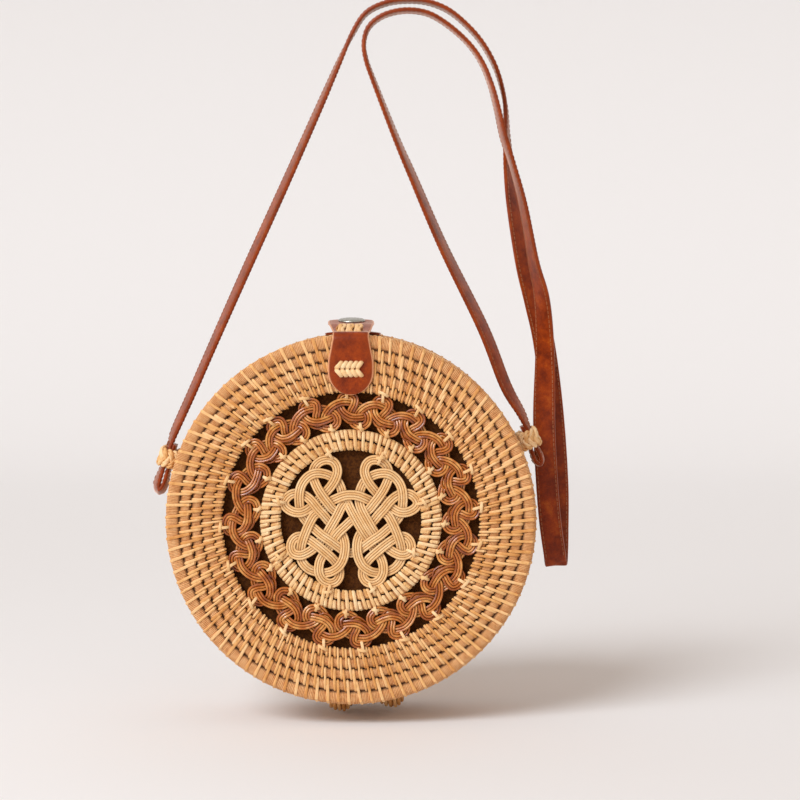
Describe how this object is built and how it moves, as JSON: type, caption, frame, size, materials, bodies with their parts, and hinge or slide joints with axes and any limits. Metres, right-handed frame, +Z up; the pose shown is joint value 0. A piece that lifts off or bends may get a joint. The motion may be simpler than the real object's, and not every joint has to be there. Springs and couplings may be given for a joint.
{
  "type": "basket handbag",
  "caption": "Round woven cane shoulder bag of two half drums that hinge open at the bottom, with an openwork front, a leather snap closure and a long leather strap.",
  "frame": {"origin": "top of the carried strap, in the middle of the hand's hold", "axes": "-Y is the front of the bag, +X is to its right seen from the front, +Z is up"},
  "size_m": [0.2345, 0.083, 0.3959],
  "materials": {
    "woven_cane": "coiled and bound rattan cane, matt to satin, straw and tan",
    "pale_cane": "split rattan cane, satin, pale straw yellow",
    "dark_cane": "dyed rattan cane, glossy red brown",
    "brown_leather": "waxed brown leather with orange-brown cut edges",
    "lining_cloth": "dark brown cotton lining",
    "nickel": "plated snap, satin nickel"
  },
  "bodies": {
    "strap": {"strap": "brown_leather", "strap_end_stitches_left": "pale_cane", "strap_end_stitches_right": "pale_cane"},
    "bag_back": {"back_face_weave": "woven_cane", "back_wall_weave": "woven_cane", "back_rim_hoop": "woven_cane", "back_lining": "lining_cloth", "back_patch": "brown_leather", "strap_keeper_left": "pale_cane", "strap_keeper_right": "pale_cane", "hinge_loop_left": "pale_cane", "hinge_loop_right": "pale_cane", "snap_stud": "nickel"},
    "front_shell": {"front_face_weave": "woven_cane", "front_wall_weave": "woven_cane", "front_rim_hoop": "woven_cane", "front_inner_ring": "pale_cane", "front_chain_ring": "dark_cane", "front_knot_open_band": "pale_cane", "front_knot_closed_band": "pale_cane", "front_lining": "lining_cloth", "front_tab": "brown_leather", "tab_face_stitches": "pale_cane", "tab_top_stitches": "pale_cane"},
    "flap": {"closure_flap": "brown_leather", "snap_cap": "nickel", "snap_socket": "nickel"}
  },
  "joints": [
    {"name": "bag_swing", "type": "hinge", "parent": "strap", "child": "bag_back", "pos_m": [-0.03392, 0, -0.24752], "axis": [0.9986, 0, 0.0524], "range_deg": [-12, 12]},
    {"name": "front_open", "type": "hinge", "parent": "bag_back", "child": "front_shell", "pos_m": [-0.02447, -0.0045, -0.38422], "axis": [0.9972, 0, 0.075], "range_deg": [0, 90]},
    {"name": "flap_lift", "type": "hinge", "parent": "front_shell", "child": "flap", "pos_m": [-0.032, -0.0183, -0.1823], "axis": [1, 0, 0], "range_deg": [0, 110]}
  ]
}
